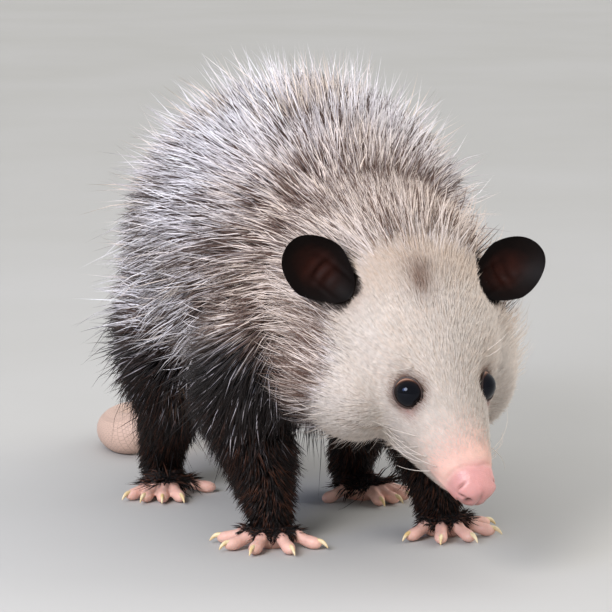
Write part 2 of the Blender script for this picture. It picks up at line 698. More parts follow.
def markings(co, local, legs):
    # how strongly each zone shows at each point, from 0 to 1
    f, s, u = local.T
    x, y, z = co.T
    ragged = waves(co, 14, 3) * zones["ragged"]
    edge = zones["faceEdge"] - zones["faceTilt"] * u + ragged * 0.5
    edge = edge + 30 * ease(36, 54, -s) + 10 * ease(38, 56, s)
    face = ease(edge - 18 - 12 * ease(10, 30, u), edge + 12, f) * ease(-40, -24, u)
    face = np.where(x < 20, 0, face)
    low = np.interp(x, zones["darkAlong"], zones["darkUnder"])
    dark = 1 - ease(low - 15, low + 11, z + ragged)
    dark = np.maximum(dark, legs * ease(94, 74, z)) * (1 - face)
    (smudgeF, smudgeS), (smudgeLong, smudgeWide) = zones["smudge"]
    smudge = np.exp(-(((f - smudgeF) / smudgeLong) ** 2 + ((s - smudgeS) / smudgeWide) ** 2)) * (u > 20)
    shade, corner, earBase = np.zeros((3, len(co)))
    for sign in (-1, 1):
        centre, facing = eyeAxes(sign)
        ahead = centre + facing * zones["eyeAhead"]
        radius, fade = zones["eyeRing"]
        away = np.linalg.norm(local - ahead, axis=1)
        shade = np.maximum(shade, np.exp(-(np.maximum(away - radius, 0) / fade) ** 2))
        inner, size = zones["eyeCorner"]
        away = np.linalg.norm(local - (ahead + np.array(onSide(inner, sign))), axis=1)
        corner = np.maximum(corner, np.exp(-(away / size) ** 2))
        for seat, size in zones["earSeats"]:
            away = np.linalg.norm(local - np.array(onSide(seat, sign)), axis=1)
            earBase = np.maximum(earBase, np.exp(-(away / size) ** 4))
        reach, ahead = earReach(local, sign)
        hidden = ease(1.25, 1.0, reach) * ease(15, 9, ahead) * ease(-22, -16, ahead)
        earBase = np.maximum(earBase, hidden)
    return {
        "face": face, "dark": dark, "smudge": smudge, "shade": shade, "corner": corner, "earBase": earBase,
        "pale": np.clip((z - low) / 100, 0, 1),
        "buff": ease(-55, 35, x + ragged) * (1 - face) * (1 - dark),
        "tan": ease(-98, -86, x) * ease(-40, -56, x) * ease(44, 54, z) * ease(76, 62, z) * ease(10, 0, y),
        "muzzle": ease(-28, -7, f), "snout": ease(-66, -32, f) * face,
        "crown": ease(-80, -104, f) * ease(0, 18, u),
        "collar": ease(-100, -116, f) * ease(-156, -126, f) * ease(-34, -10, u) * (x > 20),
    }


def furTones(kind, marks, points, rng, pick):
    # colour near the root and at the tip of each tuft; pick runs from pale tufts to dark ones
    n = len(points)
    c = colours
    z = points[:, 2]
    patch = waves(points, 26, 5)
    odd = rng.random(n)
    tip = mixed(plain("silverTip", n), c["creamTip"], ease(0.0, 0.9, patch + 0.4 * (odd - 0.5)))
    tip = mixed(tip, c["greyTip"], ease(0.55, 0.85, rng.random(n)) * 0.8)
    silver = np.interp(marks["pale"], (0, 0.15, 0.5, 1), (0.28, 0.42, 0.5, 0.58))
    if kind != "wisp":
        tip = mixed(tip, c["duskTip"], ease(silver - 0.06, silver + 0.06, pick))
    root = plain("silverRoot", n)
    if kind == "under":
        tip = mixed(plain("underRoot", n), c["underTip"], 0.35 + 0.65 * odd)
        root = plain("darkRoot", n)
    darkShare = 0.95 * ease(0.34, 0.62, pick - 0.13 * marks["collar"])
    buffed = mixed(plain("buffTip", n), c["buffRoot"], darkShare)
    tip = mixed(tip, buffed, marks["buff"] * (0.75 + 0.25 * odd))
    root = mixed(root, c["buffRoot"], marks["buff"])
    root = mixed(root, c["faceTan"], 0.3 * marks["collar"])
    darkTip = mixed(plain("darkTip", n), c["legTip"], ease(100, 45, z) * ease(0.5, 1, odd))
    streak = (rng.random(n) < (0.08 if kind == "guard" else 0.0)) * ease(48, 70, z)
    darkTip = mixed(darkTip, c["greyTip"], streak * 0.85)
    darkTip = mixed(darkTip, c["tanTip"], marks["tan"] * (rng.random(n) < 0.4) * 0.8)
    tip = mixed(tip, darkTip, marks["dark"])
    root = mixed(root, c["darkRoot"], marks["dark"])
    tanShare = 0.4 * ease(0.45, 1, odd + 0.3 * patch) + 0.4 * marks["crown"]
    faceTip = mixed(plain("faceTip", n), c["faceTan"], tanShare)
    faceTip = mixed(faceTip, c["pinkSkin"], marks["muzzle"] * 0.35)
    chosen = ease(0.3, 0.7, marks["face"] + 0.55 * (pick - 0.5))
    tip = mixed(tip, faceTip, chosen)
    root = mixed(root, c["faceRoot"], chosen)
    root = mixed(root, c["pinkSkin"], marks["face"] * marks["muzzle"] * 0.7)
    for mark, name, most, _ in overlays:
        tip = mixed(tip, c[name], marks[mark] * most * (1 if mark == "earBase" else 0.6 + 0.4 * odd))
        root = mixed(root, c[name], marks[mark] * most)
    value = 0.88 + 0.22 * rng.random(n)
    if kind == "face":
        value = (0.93 + 0.07 * rng.random(n)) * (1 - 0.09 * marks["crown"] - 0.14 * marks["snout"])
    value = value[:, None]
    return np.clip(root * value, 0, 1), np.clip(tip * value, 0, 1)


def skinTone(fields):
    c = colours
    marks, local = fields["marks"], fields["local"]
    f, _, u = local.T
    z = fields["co"][:, 2]
    n = len(z)
    tone = mixed(plain("underSkin", n), c["darkRoot"], marks["dark"])
    tone = mixed(tone, c["buffRoot"], marks["buff"])
    tone = mixed(tone, c["faceRoot"], marks["face"])
    tone = mixed(tone, c["pinkSkin"], marks["face"] * ease(-40, -14, f) * 0.9)
    for mark, name, _, most in overlays:
        tone = mixed(tone, c[name], marks[mark] * most)
    tone = mixed(tone, c["nosePink"], ease(-11, -4, f))
    tone = mixed(tone, c["noseUnder"], ease(-9, -2, f) * ease(-2, -8, u) * 0.9)
    for sign in (-1, 1):
        for at, size in nostrilTones:
            hole = np.linalg.norm((local - np.array(onSide(at, sign))) / size, axis=1)
            tone = mixed(tone, c["lip"], np.exp(-hole ** 2) * 0.85)
    line = np.exp(-((u - mouthHeight(f)) / 1.3) ** 2) * ease(-64, -56, f) * (f < -3)
    tone = mixed(tone, c["lip"], line * 0.9)
    toes = mixed(plain("toePink", n), c["toeDusky"], ease(6, 11, z) * 0.5)
    tone = mixed(tone, toes, fields["feet"].astype(float))
    pale = mixed(plain("tailBase", n), c["tailPale"], ease(72, 30, z))
    return mixed(tone, pale, fields["tail"].astype(float))


# Tufts

def scatter(rng, fields, count, weight):
    # even random roots over the skin, and how to read any field there
    tris = fields["tris"]
    co = fields["co"]
    a, b, c = co[tris[:, 0]], co[tris[:, 1]], co[tris[:, 2]]
    area = np.linalg.norm(np.cross(b - a, c - a), axis=1) / 2 * weight[tris].mean(1)
    total = np.cumsum(area)
    picks = (np.arange(count) + rng.random(count)) / count * total[-1]
    index = np.minimum(np.searchsorted(total, picks), len(tris) - 1)
    one, two = rng.random(count), rng.random(count)
    over = one + two > 1
    one[over], two[over] = 1 - one[over], 1 - two[over]
    shares = np.stack([1 - one - two, one, two], 1)

    def read(values):
        picked = values[tris[index]].astype(float)
        return (picked * (shares[:, :, None] if picked.ndim == 3 else shares)).sum(1)
    return read


def clumpPull(rng, roots, normals, spacing, strength):
    # leans the tips of neighbouring tufts towards one another
    count = max(4, int(len(roots) / spacing))
    centres = roots[rng.choice(len(roots), count, replace=False)]
    tree = KDTree(count)
    for i, centre in enumerate(centres):
        tree.insert(centre, i)
    tree.balance()
    owner = np.array([tree.find(root)[1] for root in roots])
    pull = (centres[owner] - roots) * strength
    return pull - normals * (pull * normals).sum(1)[:, None], owner


def tuftAim(spots):
    tilt = (spots["start"] + spots["end"])[:, None] / 2
    return spots["lie"] * np.cos(tilt) + spots["normal"] * np.sin(tilt)


earRoom = {"shares": (0.2, 0.35, 0.5, 0.7, 0.85, 1.0), "around": 1.05, "behind": 2, "ahead": 30}


def clearOfEars(spots, length):
    # true for the tufts that don't stand in front of an ear's cup
    keep = np.ones(len(spots["root"]), bool)
    aim = tuftAim(spots)
    for sign in (-1, 1):
        for share in earRoom["shares"]:
            at = spots["root"] + aim * (length * share)[:, None] + spots["pull"] * share ** 1.3
            reach, ahead = earReach(toHead(at), sign)
            behind = ear["cup"] * (reach - 1) - earRoom["behind"]
            keep &= ~((reach < earRoom["around"]) & (ahead > behind) & (ahead < earRoom["ahead"]))
    return keep


def trimmed(spots, length):
    # shortens the tufts that would reach more than 9 mm out of the solids' box
    low, high = ((np.array(corner) - np.array(shift)) / mm + side * 9
                 for corner, side in zip(cadBox, (-1, 1)))
    at = spots["root"] + tuftAim(spots) * length[:, None]
    over = np.maximum(np.maximum(at - high, low - at), 0)
    over[:, 2] = np.maximum(at[:, 2] - high[2], 0)
    return length - np.minimum(1.4 * over.max(1), 0.6 * length)


def tuftMesh(name, spots, rings, sides, skinShading=0):
    # joined closed tufts: tapering strands of three sides that start at a point under the skin,
    # leave it and bend over
    root, normal, lie = spots["root"], spots["normal"], spots["lie"]
    n = len(root)
    across = unit(np.cross(normal, lie))
    lie = np.cross(across, normal)
    length, start, end = spots["length"], spots["start"], spots["end"]
    end = np.where(np.abs(end - start) < 0.02, start - 0.02, end)
    count = len(rings)
    each = count * 3 + 2
    verts = np.empty((n, each, 3))
    for i, (t, wide) in enumerate([(0.0, 0.0)] + list(rings) + [(1.0, 0.0)]):
        turn = start + (end - start) * t
        ahead = length * (np.sin(turn) - np.sin(start)) / (end - start)
        rise = length * (np.cos(start) - np.cos(turn)) / (end - start) - spots["sink"] * (1 - t)
        middle = root + lie * ahead[:, None] + normal * rise[:, None]
        middle += across * (spots["sway"] * length * t * t)[:, None] + spots["pull"] * t ** 1.3
        if i in (0, count + 1):
            verts[:, 0 if i == 0 else -1] = middle
            continue
        over = normal * np.cos(turn)[:, None] - lie * np.sin(turn)[:, None]
        half = (spots["width"] * wide / 2)[:, None]
        thick = (spots["width"] * wide * sides)[:, None]
        verts[:, i * 3 - 2] = middle + across * half - over * thick * 0.4
        verts[:, i * 3 - 1] = middle + over * thick * 0.6
        verts[:, i * 3] = middle - across * half - over * thick * 0.4
    verts[:, :, 2] = np.maximum(verts[:, :, 2], 0.3)
    base = np.arange(n)[:, None] * each
    quads = [np.empty((0, 4), int)]
    for i in range(count - 1):
        for k in range(3):
            m = (k + 1) % 3
            quads.append(base + np.array([i * 3 + k, i * 3 + m, i * 3 + 3 + m, i * 3 + 3 + k]) + 1)
    last = (count - 1) * 3 + 1
    tris = [base + np.array([last + k, last + (k + 1) % 3, each - 1]) for k in range(3)]
    tris += [base + np.array([1 + (k + 1) % 3, 1 + k, 0]) for k in range(3)]
    quads = np.concatenate(quads).reshape(-1, 4)
    tris = np.concatenate(tris).reshape(-1, 3)
    loops = np.concatenate([quads.ravel(), tris.ravel()]).astype(np.int32)
    starts = np.concatenate([np.arange(len(quads)) * 4, len(quads) * 4 + np.arange(len(tris)) * 3])
    mesh = bpy.data.meshes.new(name)
    mesh.vertices.add(n * each)
    mesh.vertices.foreach_set("co", verts.ravel())
    mesh.loops.add(len(loops))
    mesh.loops.foreach_set("vertex_index", loops)
    mesh.polygons.add(len(starts))
    mesh.polygons.foreach_set("loop_start", starts.astype(np.int32))
    mesh.update(calc_edges=True)
    mesh.polygons.foreach_set("use_smooth", np.ones(len(starts), bool))
    times = np.array([0.0] + [t for t, _ in rings for _ in range(3)] + [1.0])
    sideways = np.array([0.5] + [0, 0.5, 1] * count + [0.5])
    setScalar(mesh, "along", np.tile(times, n))
    setColour(mesh, "rootTone", np.repeat(spots["rootTone"], each, 0))
    setColour(mesh, "tipTone", np.repeat(spots["tipTone"], each, 0))
    patch = 0.003
    u = spots["u"][:, None] + patch * (sideways - 0.5)[None, :]
    v = spots["v"][:, None] + patch * (times - 0.5)[None, :]
    layer = mesh.uv_layers.new(name="OFBake")
    layer.uv.foreach_set("vector", np.stack([u.ravel(), v.ravel()], 1)[loops].ravel())
    if skinShading:
        own = np.empty(n * each * 3)
        mesh.vertices.foreach_get("normal", own)
        under = np.repeat(normal, each, 0)
        mesh.normals_split_custom_set_from_vertices(unit(under * skinShading + own.reshape(-1, 3)))
    obj = bpy.data.objects.new(name, mesh)
    bpy.context.scene.collection.objects.link(obj)
    return obj


def setScalar(mesh, name, values):
    mesh.attributes.new(name, "FLOAT", "POINT").data.foreach_set("value", values)


def setColour(mesh, name, values):
    layer = mesh.color_attributes.new(name, "FLOAT_COLOR", "POINT")
    layer.data.foreach_set("color", np.concatenate([values, np.ones((len(values), 1))], 1).ravel())


def growCoat(name, fields, weight, part, settings, material, slot):
    rng = np.random.default_rng(settings["seed"])
    read = scatter(rng, fields, settings["count"], weight)
    n = settings["count"]
    root, normal, lie = read(fields["co"]), unit(read(fields["normal"])), unit(read(fields["lie"]))
    wander = waves(root, settings.get("swell", 22), settings["seed"]) * settings.get("wander", 0.3)
    wander += rng.normal(0, settings.get("stray", 0.14), n)
    lie = unit(lie * np.cos(wander)[:, None] + np.cross(normal, lie) * np.sin(wander)[:, None])
    top = np.clip(normal[:, 2], 0, 1)
    rear = ease(0.05, 0.6, -normal[:, 0])
    lift = settings.get("topStart", 0) * top - settings.get("rearDown", 0) * rear
    lift += settings.get("ruffUp", 0) * read(fields["ruff"])
    start = np.radians(settings["start"] + lift + rng.normal(0, 6, n))
    end = np.radians(settings["end"] + settings.get("topEnd", 0) * top * (1 - rear) + rng.normal(0, 8, n))
    if settings.get("byDepth"):
        meanRise = np.maximum(np.abs((np.cos(start) - np.cos(end)) / (end - start)), 0.16)
        length = np.clip(read(fields["depth"]) * settings["reach"] / meanRise,
                         settings["shortest"], settings["longest"])
    else:
        length = read(fields["long"]) * settings["reach"]
    length *= rng.uniform(1 - settings["uneven"], 1 + settings["uneven"] * 0.6, n)
    pull, owner = clumpPull(rng, root, normal, settings["clump"], settings["gather"])
    pull *= (length / length.max())[:, None]
    groups = owner.max() + 1
    uneven = settings["clumpTone"]
    clumpTone = rng.uniform(1 - uneven, 1 + uneven * 0.6, groups)[owner][:, None]
    pick = 0.5 * rng.random(groups)[owner] + 0.5 * rng.random(n)
    along = root + lie * (length * 0.5)[:, None]
    marks = markings(along, toHead(along), read(fields["legs"]))
    rootTone, tipTone = furTones(settings["kind"], marks, root, rng, pick)
    u, v = unwrapOn(part, root)
    spots = {
        "root": root, "normal": normal, "lie": lie, "length": length, "start": start, "end": end,
        "width": settings["width"] * read(fields["wide"]) * rng.uniform(0.65, 1.25, n),
        "sway": rng.normal(0, settings["sway"], n), "pull": pull, "u": u, "v": v,
        "rootTone": rootTone, "tipTone": np.clip(tipTone * clumpTone, 0, 1),
    }
    length = trimmed(spots, length)
    spots["length"] = np.where(clearOfEars(spots, length), length, length * 0.4)
    spots["length"] = np.where(clearOfEars(spots, length * 0.2), spots["length"], length * 0.17)
    spots["sink"] = settings["sink"]
    obj = tuftMesh(name, spots, settings["rings"], settings["flat"], settings.get("skinShading", 0))
    finish(obj, material, slot)
    print(name, n, "tufts")
    return obj


# Finishing

def finish(obj, materials, slot, nodes=()):
    obj.data.transform(toFrame)
    obj.data.materials.clear()
    for material in materials if isinstance(materials, (list, tuple)) else [materials]:
        obj.data.materials.append(material)
    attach(obj, "root")
    if nodes:
        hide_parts(*nodes)
    return obj


def smoothFaces(obj):
    obj.data.polygons.foreach_set("use_smooth", np.ones(len(obj.data.polygons), bool))


def newMaterial(name):
    material = bpy.data.materials.new(name)
    material.use_nodes = True
    return material, material.node_tree, material.node_tree.nodes["Principled BSDF"]


def plug(tree, node, inputs):
    # sets a node's sockets, or links them where a value is another node's socket
    for name, value in inputs.items():
        if isinstance(value, bpy.types.NodeSocket):
            tree.links.new(value, node.inputs[name])
        else:
            node.inputs[name].default_value = value


def addNode(tree, kind, inputs=None, stops=(), **settings):
    node = tree.nodes.new("ShaderNode" + kind)
    for name, value in settings.items():
        setattr(node, name, value)
    plug(tree, node, inputs or {})
    for k, (place, code) in enumerate(stops):      # a ramp's first and last colours, then those between
        band = node.color_ramp.elements[k] if k < 2 else node.color_ramp.elements.new(place)
        band.position = place
        band.color = rgba(code)
    return node.outputs


def rgba(code):
    return (*hexColour(code), 1)


def furMaterial(name, roughness, specular, rootEnds, tipFrom):
    # mammal hair: a matt, slightly greasy fibre, dark at the root, its colour set by the markings
    material, tree, shader = newMaterial(name)
    root, tip, along = (addNode(tree, "Attribute", attribute_name=word)
                        for word in ("rootTone", "tipTone", "along"))
    stops = ((rootEnds, "#000000"), (tipFrom, "#FFFFFF"))
    ramp = addNode(tree, "ValToRGB", {"Fac": along["Fac"]}, stops)
    mix = addNode(tree, "Mix", {"Factor": ramp["Color"], "A": root["Color"], "B": tip["Color"]},
                  data_type="RGBA")
    place = addNode(tree, "TexCoord")["Object"]
    grain = addNode(tree, "TexNoise", {"Vector": place, "Scale": 420.0, "Detail": 2.0})
    tone = addNode(tree, "MapRange", {"Value": grain["Fac"], "From Min": 0.3, "From Max": 0.7,
                                      "To Min": 0.86, "To Max": 1.08})
    value = addNode(tree, "HueSaturation", {"Color": mix["Result"], "Value": tone["Result"]})
    plug(tree, shader, {"Base Color": value["Color"], "Roughness": roughness, "Specular IOR Level": specular})
    return material


def skinMaterial(name, pore, depth, roughness):
    # living skin: fine pores and creases, colour from the same markings as the coat
    material, tree, shader = newMaterial(name)
    tone = addNode(tree, "Attribute", attribute_name="skinTone")
    place = addNode(tree, "TexCoord")["Object"]
    cells = addNode(tree, "TexVoronoi", {"Vector": place, "Scale": 1000 / pore})
    creases = addNode(tree, "TexNoise", {"Vector": place, "Scale": 300 / pore, "Detail": 4.0})
    height = addNode(tree, "Math", {0: cells["Distance"], 1: creases["Fac"]}, operation="ADD")
    bump = addNode(tree, "Bump", {"Height": height["Value"], "Distance": depth * mm, "Strength": 0.7})
    blotch = addNode(tree, "TexNoise", {"Vector": place, "Scale": 120.0, "Detail": 3.0})
    tint = addNode(tree, "MapRange", {"Value": blotch["Fac"], "From Min": 0.3, "From Max": 0.7,
                                      "To Min": 0.88, "To Max": 1.08})
    value = addNode(tree, "HueSaturation", {"Color": tone["Color"], "Value": tint["Result"]})
    plug(tree, shader, {
        "Base Color": value["Color"], "Normal": bump["Normal"], "Roughness": roughness,
        "Subsurface Weight": 0.15, "Subsurface Radius": (0.004, 0.0015, 0.001), "Subsurface Scale": 1.0,
    })
    return material


def tailMaterial():
    # scaly bare tail: rings of small scales with dark lines between them
    material, tree, shader = newMaterial("scalyTailSkin")
    tone = addNode(tree, "Attribute", attribute_name="skinTone")
    rolled = addNode(tree, "Attribute", attribute_name="rolled")
    scales = addNode(tree, "TexBrick", {
        "Vector": rolled["Vector"], "Scale": 1.0, "Mortar Size": 0.1, "Mortar Smooth": 0.9,
        "Brick Width": 1.0, "Row Height": 1.0, "Color1": (1, 1, 1, 1), "Color2": (0.82, 0.82, 0.82, 1),
        "Mortar": (0, 0, 0, 1),
    })
    bump = addNode(tree, "Bump", {"Height": scales["Color"], "Distance": 0.25 * mm, "Strength": 0.7})
    tint = addNode(tree, "MapRange", {"Value": scales["Fac"], "To Min": 1.0, "To Max": 0.72})
    value = addNode(tree, "HueSaturation", {"Color": tone["Color"], "Value": tint["Result"]})
    plug(tree, shader, {"Base Color": value["Color"], "Normal": bump["Normal"], "Roughness": 0.55})
    return material


def earMaterial():
    # thin bare ear skin, leathery and nearly black, reddish where light comes through the cup
    material, tree, shader = newMaterial("thinEarLeather")
    cup = addNode(tree, "Attribute", attribute_name="cup")
    place = addNode(tree, "TexCoord")["Object"]
    veins = addNode(tree, "TexNoise", {"Vector": place, "Scale": 160.0, "Detail": 5.0})
    stops = ((0.0, "#140C0A"), (1.0, "#290E07"), (0.06, "#0A0504"), (0.5, "#100604"))
    ramp = addNode(tree, "ValToRGB", {"Fac": cup["Fac"]}, stops)
    tint = addNode(tree, "MapRange", {"Value": veins["Fac"], "From Min": 0.3, "From Max": 0.7,
                                      "To Min": 0.7, "To Max": 1.25})
    value = addNode(tree, "HueSaturation", {"Color": ramp["Color"], "Value": tint["Result"]})
    bump = addNode(tree, "Bump", {"Height": veins["Fac"], "Distance": 0.3 * mm, "Strength": 0.5})
    plug(tree, shader, {"Base Color": value["Color"], "Normal": bump["Normal"], "Roughness": 0.6,
                        "Specular IOR Level": 0.12})
    return material


def eyeMaterial():
    # wet cornea over a nearly black iris, with a thin brown ring towards the lids
    material, tree, shader = newMaterial("wetCornea")
    rim = addNode(tree, "Attribute", attribute_name="rim")
    stops = ((0.5, "#050304"), (0.95, "#A07E6C"), (0.76, "#120A09"), (0.84, "#4C3024"))
    ramp = addNode(tree, "ValToRGB", {"Fac": rim["Fac"]}, stops)
    plug(tree, shader, {"Base Color": ramp["Color"], "Roughness": 0.04, "IOR": 1.376,
                        "Specular Tint": rgba("#C0CCE4")})
    return material


def plainMaterial(name, code, other, roughness, scale, depth):
    # one tone with a slow change to another, over a fine uneven surface
    material, tree, shader = newMaterial(name)
    place = addNode(tree, "TexCoord")["Object"]
    cloud = addNode(tree, "TexNoise", {"Vector": place, "Scale": scale, "Detail": 4.0})
    ramp = addNode(tree, "ValToRGB", {"Fac": cloud["Fac"]}, ((0.35, code), (0.65, other)))
    bump = addNode(tree, "Bump", {"Height": cloud["Fac"], "Distance": depth * mm, "Strength": 0.4})
    plug(tree, shader, {"Base Color": ramp["Color"], "Normal": bump["Normal"], "Roughness": roughness})
    return material


# Eyes, lids, ears, claws

def eyeTurn(sign):
    # turns the head's axes into the eye's own, and places the eye in the animal's
    centre, facing = eyeAxes(sign)
    turn = Vector(facing).to_track_quat("Z", "Y").to_matrix().to_4x4()
    return turn.inverted(), headFrame @ Matrix.Translation(centre) @ turn


def turnOf(point):
    return math.atan2(point.y, point.x)


def makeEye(word, sign, material):
    intoEye, place = eyeTurn(sign)
    outer = turnOf(intoEye @ Vector((-0.75, 0.1 * sign, 0.8)))      # the brown ring shows most on this side
    bm = bmesh.new()
    bmesh.ops.create_uvsphere(bm, u_segments=48, v_segments=32, radius=eye["radius"])
    rim = []
    for vert in bm.verts:
        tilt = vert.co.normalized().z
        away = math.degrees(math.acos(max(-1, min(1, tilt))))
        toOuter = max(0.0, math.cos(turnOf(vert.co) - outer))
        rim.append(away / eye["ringAngle"] * (0.78 + 0.3 * toOuter))
        vert.co *= 1 + eye["bulge"] * max(0.0, tilt - 0.75) / 0.25      # the cornea stands a little proud
    bmesh.ops.transform(bm, matrix=place, verts=bm.verts)
    obj = meshObject("eyeball" + word, bm)
    setScalar(obj.data, "rim", np.array(rim))
    smoothFaces(obj)
    return finish(obj, material, "eye", ["eye_" + word.lower()])


def makeLids(word, sign, material):
    # one ring round the opening: it rises from the skin, rolls over and meets the eyeball
    intoEye, place = eyeTurn(sign)
    inner = turnOf(intoEye @ Vector((1, -0.25 * sign, -0.35)))
    outer = turnOf(intoEye @ Vector((-1, 0.2 * sign, 0.5)))
    bm = bmesh.new()
    loops = []
    for out, rise in eye["lidProfile"]:
        ring = bmesh.ops.create_circle(bm, segments=48, radius=1)["verts"]
        reach = eye["radius"] + rise
        for vert in ring:
            turn = turnOf(vert.co)
            toInner = max(0.0, math.cos(turn - inner)) ** 8
            toOuter = max(0.0, math.cos(turn - outer)) ** 8
            almond = 6 * abs(math.cos(turn - inner)) ** 1.5
            tilt = math.radians(eye["opening"] - 7 + almond + eye["corner"] * (toInner + 0.4 * toOuter) + out)
            flat = reach * math.sin(tilt)
            vert.co = (flat * math.cos(turn), flat * math.sin(turn), reach * math.cos(tilt))
        loops.append(list({edge for vert in ring for edge in vert.link_edges}))
    for one, two in zip(loops, loops[1:] + loops[:1]):
        bmesh.ops.bridge_loops(bm, edges=one + two)
    bmesh.ops.transform(bm, matrix=place, verts=bm.verts)
    obj = meshObject("eyelids" + word, bm)
    smoothFaces(obj)
    return finish(obj, material, "eye")


def makeEar(word, sign, material):
    middle, up, face, wide = earFrame(sign)
    bm = bmesh.new()
    bmesh.ops.create_uvsphere(bm, u_segments=80, v_segments=56, radius=1)
    cup = []
    for vert in bm.verts:
        x, y, z = vert.co      # across the ear, up to its tip, and through its wall
        reach = x * x + y * y
        narrow = 1 - ear["narrow"] * max(0.0, -y)
        front = z > 0
        bowl = ear["cup"] * (reach - 1)
        if front:      # ripples and two folds inside the cup
            deep = 1 - reach
            bowl += 0.7 * math.sin(y * 22 + 1) * math.exp(-((y + 0.2) / 0.35) ** 2 - (x / 0.5) ** 2) * deep
            bowl += 1.8 * math.exp(-((x - 0.42 + 0.2 * y) / 0.1) ** 2) * max(0.0, 0.4 - y) * deep
            bowl += 1.3 * math.exp(-((x + 0.4 - 0.15 * y) / 0.09) ** 2) * max(0.0, 0.2 - y) * deep
        bowl += 0.5 * math.sin(5 * math.atan2(y, x) + sign) * reach ** 6      # the rim waves a little
        lip = ear["lip"] * math.exp(-((1 - reach) / 0.04) ** 2)
        point = middle + wide * (x * (ear["halfWide"] + 0.3 * lip) * narrow) + up * (y * ear["halfHeight"])
        point += face * (z * ear["thick"] * (1.7 - 0.7 * y) + bowl + lip * 0.5)
        cup.append(max(0.0, 1 - reach) if front else max(0.1, 0.3 * (1 - reach)))
        vert.co = headFrame @ point
    obj = meshObject("earFlap" + word, bm)
    setScalar(obj.data, "cup", np.array(cup))
    smoothFaces(obj)
    return finish(obj, material, "ear_skin", ["ear_" + word.lower()])


def makeClaws(word, material):
    _, clawed, _ = footSpins(word)
    bm = bmesh.new()
    tip = foot["toeReach"] + 2
    long = foot["clawLength"]
    rows = [
        (tip - 4, 0, 4.2, 1.1, 1.2, 0), (tip - 0.5, 0, 4.7, 1.2, 1.35, 0),
        (tip + long * 0.3, 0, 4.5, 1.0, 1.2, 0), (tip + long * 0.6, 0, 3.5, 0.75, 0.9, 0),
        (tip + long * 0.84, 0, 2.1, 0.4, 0.5, 0), (tip + long * 0.92, 0, 1.4, 0.12, 0.16, 0),
    ]
    for spin in clawed:
        loft(bm, curveRows(rows, 3), segments=12, place=spin)
    obj = meshObject("claws" + word[0].upper() + word[1:], bm)
    smoothFaces(obj)
    return finish(obj, material, "pink_skin")


whiskers = {
    "width": 0.36, "seed": 71,
    "groups": (      # middle on the left side, spread, how many on each side, shortest and longest
        ((-24, 13, -3), 13, 10, (20, 40)), ((-76, 42, -10), 8, 5, (18, 28)),
        ((-60, 17, 26), 3, 2, (14, 20)),
    ),
}


def makeWhiskers(fields, material):
    rng = np.random.default_rng(whiskers["seed"])
    local = fields["local"]
    root, normal, lie, length = [], [], [], []
    for sign in (-1, 1):
        for at, size, count, (short, long) in whiskers["groups"]:
            for _ in range(count):
                want = np.array((at[0], sign * at[1], at[2])) + rng.normal(0, size / 2, 3) * (1.3, 0.6, 0.7)
                i = np.argmin(np.linalg.norm(local - want, axis=1))
                root.append(fields["co"][i])
                normal.append(fields["normal"][i])
                lean = np.array((-0.8, sign * 0.6, -0.25)) + rng.normal(0, 0.26, 3)
                lie.append(headTurn @ lean)
                length.append(rng.uniform(short, long))
    n = len(root)
    normal = np.array(normal)
    lie = np.array(lie)
    lie = unit(lie - normal * (lie * normal).sum(1)[:, None])
    rings = [(t, 1 - 0.75 * t) for t in (0.06, 0.18, 0.3, 0.42, 0.54, 0.66, 0.78, 0.9)]
    u, v = unwrapOn("skull", np.array(root))
    white = plain("faceTip", n)
    spots = {
        "root": np.array(root), "normal": normal, "lie": lie, "length": np.array(length),
        "start": np.radians(rng.uniform(30, 55, n)), "end": np.radians(rng.uniform(-25, 10, n)),
        "width": np.full(n, whiskers["width"]), "sway": rng.normal(0, 0.12, n), "pull": np.zeros((n, 3)),
        "sink": 1.0, "rootTone": white, "tipTone": white, "u": u, "v": v,
    }
    obj = tuftMesh("whiskers", spots, rings, 0.9)
    return finish(obj, material, "face_fur")


# Floor, light and camera

studio = {
    "azimuth": 72, "elevation": 9, "target": (0.0795, -0.02625, 0.12), "distance": 1.5,
    "focalPixels": 2900, "imageWidth": 612, "sensor": 36, "floorRadius": 14, "middle": (0.08, 0, 0.1),
    "suns": (      # where each comes from, strength, spread in degrees and colour
        ("overheadSun", (-0.2, 0.1, 1.0), 0.95, 70, "#FFFFFF"),
        ("frontSun", (0.9, -1.0, 0.7), 0.4, 45, "#FFF8F0"),
        ("rimSun", (-0.05, 1.0, 0.4), 1.9, 60, "#FFFCFA"),
    ),
    "softboxes": (      # place and width in metres, watts and colour
        ("frontSoftbox", (1.14, -1.13, 1.05), 0.75, 26.0, "#FDFBFA"),
        ("windowSoftbox", (0.95, -1.72, 1.1), 0.8, 12.0, "#A9C4FF"),
    ),
    "worldColour": "#E9ECEF", "worldStrength": 0.7,
}


def viewBack():
    turn, tilt = math.radians(studio["azimuth"]), math.radians(studio["elevation"])
    return Vector((math.sin(turn) * math.cos(tilt), -math.cos(turn) * math.cos(tilt), math.sin(tilt)))


def makeCamera():
    data = bpy.data.cameras.new("studioCamera")
    data.sensor_width = studio["sensor"]
    data.lens = studio["sensor"] * studio["focalPixels"] / studio["imageWidth"]
    camera = bpy.data.objects.new("studioCamera", data)
    bpy.context.scene.collection.objects.link(camera)
    back = viewBack()
    camera.location = Vector(studio["target"]) + back * studio["distance"]
    camera.rotation_euler = back.to_track_quat("Z", "Y").to_euler()
    bpy.context.scene.camera = camera


def addLight(name, kind, power, code, back, **settings):
    data = bpy.data.lights.new(name, kind)
    data.energy = power
    data.color = hexColour(code)
    for setting, value in settings.items():
        setattr(data, setting, value)
    light = bpy.data.objects.new(name, data)
    bpy.context.scene.collection.objects.link(light)
    light.rotation_euler = back.to_track_quat("Z", "Y").to_euler()
    return light


